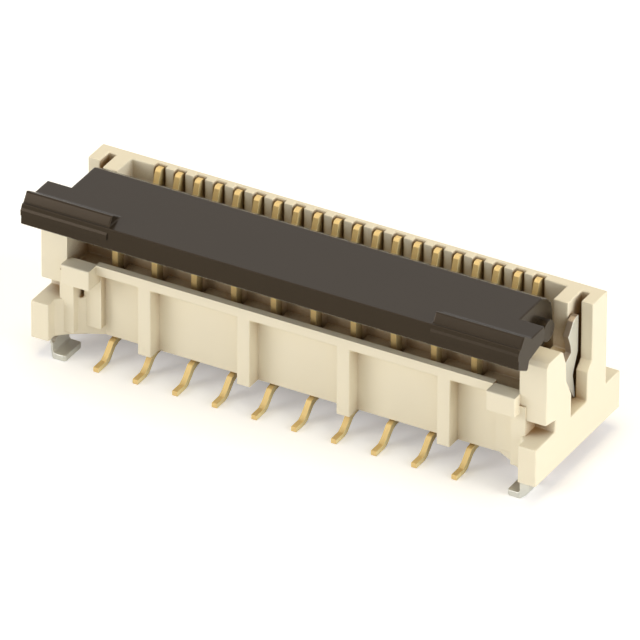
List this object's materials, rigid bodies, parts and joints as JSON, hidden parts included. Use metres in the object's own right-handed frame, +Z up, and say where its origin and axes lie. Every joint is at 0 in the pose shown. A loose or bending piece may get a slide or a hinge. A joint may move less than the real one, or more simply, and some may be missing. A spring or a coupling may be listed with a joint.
{
  "type": "vertical fpc connector",
  "caption": "Vertical surface-mount connector for a flat flexible cable, with a cream housing, gold contacts, end hold-down nails and a dark flip lever that turns up to clamp the cable.",
  "frame": {"origin": "on the board plane, at the middle of the part's footprint", "axes": "+X along the contact row, -Y towards the lever's front edge, +Z up from the board"},
  "size_m": [0.0126, 0.0052, 0.0045],
  "materials": {
    "housing": "satin moulded, slightly translucent",
    "lever": "satin moulded",
    "contact": "gold plated",
    "nail": "tin plated"
  },
  "bodies": {
    "connector": {"housing": "housing", "nail_left": "nail", "nail_right": "nail", "contact_front_01": "contact", "contact_rear_02": "contact", "contact_front_03": "contact", "contact_rear_04": "contact", "contact_front_05": "contact", "contact_rear_06": "contact", "contact_front_07": "contact", "contact_rear_08": "contact", "contact_front_09": "contact", "contact_rear_10": "contact", "contact_front_11": "contact", "contact_rear_12": "contact", "contact_front_13": "contact", "contact_rear_14": "contact", "contact_front_15": "contact", "contact_rear_16": "contact", "contact_front_17": "contact", "contact_rear_18": "contact", "contact_front_19": "contact", "contact_rear_20": "contact"},
    "flip_lever": {"lever": "lever"}
  },
  "joints": [
    {"name": "lever_hinge", "type": "hinge", "parent": "connector", "child": "flip_lever", "pos_m": [0, -0.00052, 0.00355], "axis": [-1, 0, 0], "range_deg": [0, 90]}
  ]
}
